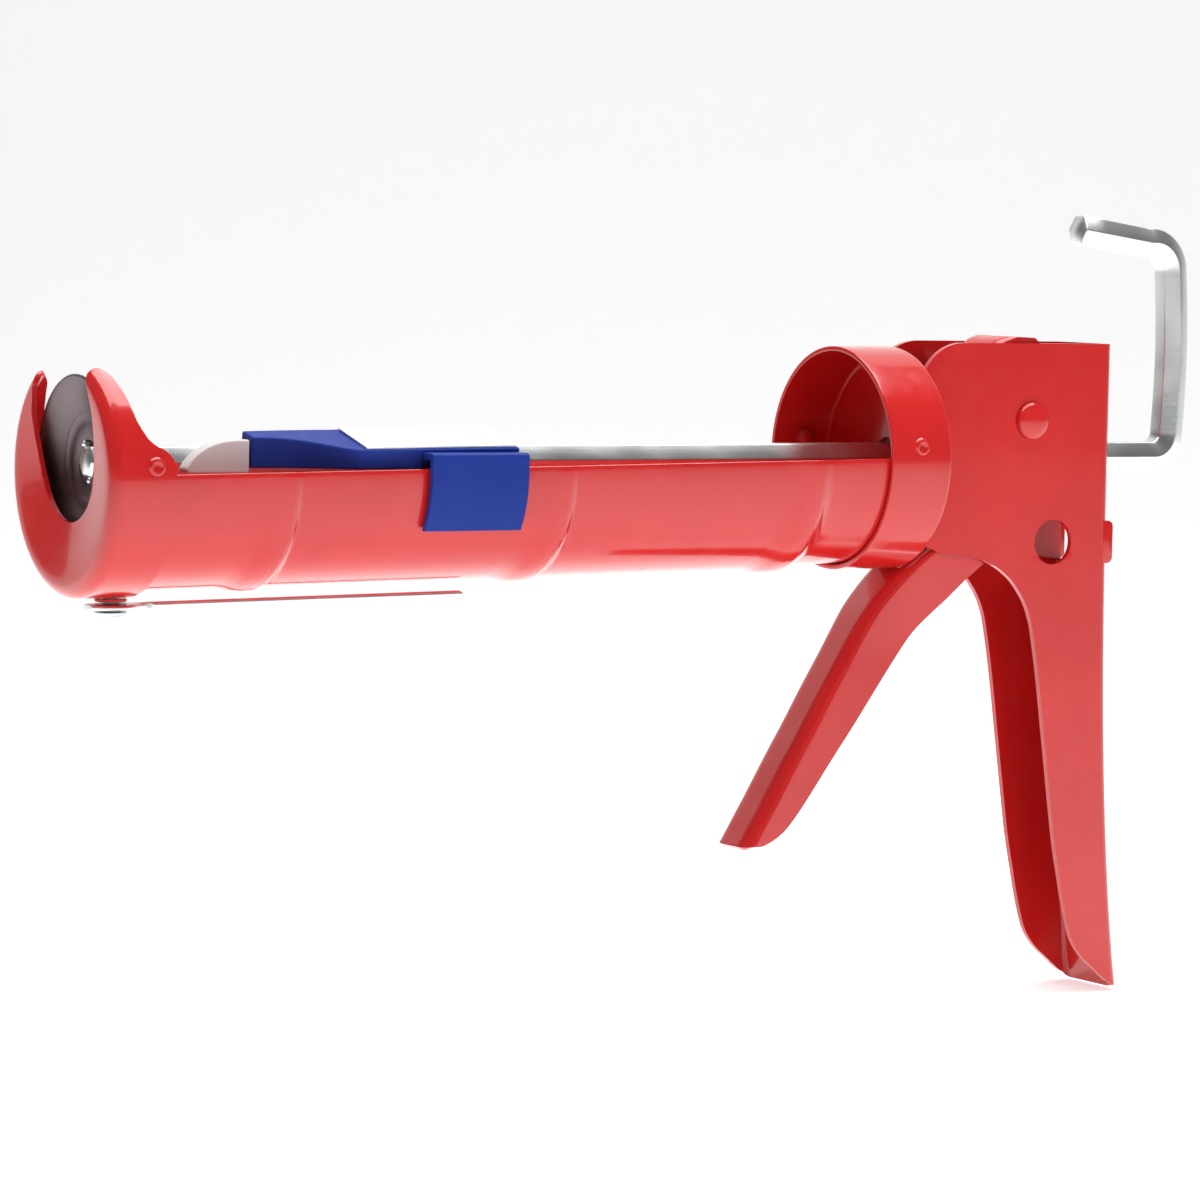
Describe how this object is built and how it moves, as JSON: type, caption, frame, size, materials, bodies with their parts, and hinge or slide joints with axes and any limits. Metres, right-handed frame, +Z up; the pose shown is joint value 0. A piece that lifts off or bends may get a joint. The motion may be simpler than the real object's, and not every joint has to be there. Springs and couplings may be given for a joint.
{
  "type": "caulking gun",
  "caption": "Half-tube caulking gun with a hex push rod and ladder hook, squeeze trigger, horseshoe nose and a clip-on smoothing tool.",
  "frame": {"origin": "middle of the bounding box at rest", "axes": "+X along the push rod towards its hook, +Y across the gun away from the side that carries the smoothing tool, +Z up"},
  "size_m": [0.309, 0.0574, 0.1924],
  "materials": {
    "red_paint": "gloss enamel",
    "zinc_steel": "bright zinc plate",
    "dark_steel": "dark zinc plate",
    "blue_plastic": "moulded satin",
    "white_rubber": "satin silicone",
    "white_label": "printed label"
  },
  "bodies": {
    "frame": {"cradle": "red_paint", "nose_cap": "red_paint", "rear_cup": "red_paint", "nose_rivet_near": "red_paint", "nose_rivet_far": "red_paint", "cup_rivet_near": "red_paint", "cup_rivet_far": "red_paint", "handle_frame": "red_paint", "pivot_rivet": "red_paint", "pivot_spacer": "zinc_steel", "punch_boss": "red_paint", "punch_rivet": "zinc_steel", "drive_spring": "dark_steel"},
    "rod": {"hex_rod": "zinc_steel", "piston_front_disc": "dark_steel", "piston_back_disc": "zinc_steel", "piston_collar": "zinc_steel"},
    "trigger_lever": {"trigger": "red_paint", "cutter_blade": "zinc_steel", "cutter_rivet": "zinc_steel"},
    "dog": {"drive_dog": "dark_steel"},
    "punch": {"seal_punch": "zinc_steel"},
    "smoother": {"smoother_body": "blue_plastic", "smoother_label": "white_label", "smoother_blade": "white_rubber"}
  },
  "joints": [
    {"name": "trigger_hinge", "type": "hinge", "parent": "frame", "child": "trigger_lever", "pos_m": [0.10094, 0, 0.04578], "axis": [0, -1, 0], "range_deg": [0, 26], "stiffness_Nm_per_rad": 0.8, "springref_deg": -14.32},
    {"name": "dog_push", "type": "slide", "parent": "frame", "child": "dog", "axis": [-1, 0, 0], "range_m": [0, 0.005], "deforming": ["drive_spring"]},
    {"name": "rod_slide", "type": "slide", "parent": "frame", "child": "rod", "axis": [1, 0, 0], "range_m": [0, 0.2]},
    {"name": "punch_swing", "type": "hinge", "parent": "frame", "child": "punch", "pos_m": [-0.14163, 0, 0.00418], "axis": [-0.014, 0, 0.9999], "range_deg": [-180, 180]},
    {"name": "smoother_lift", "type": "slide", "parent": "frame", "child": "smoother", "axis": [0, -0.6, 0.8], "range_m": [0, 0.15]}
  ],
  "couplings": [
    {"joint": "dog_push", "follows": "trigger_hinge", "m_per_rad": 0.0105},
    {"joint": "smoother_lift", "follows": "rod_slide", "ratio": 0.75}
  ]
}
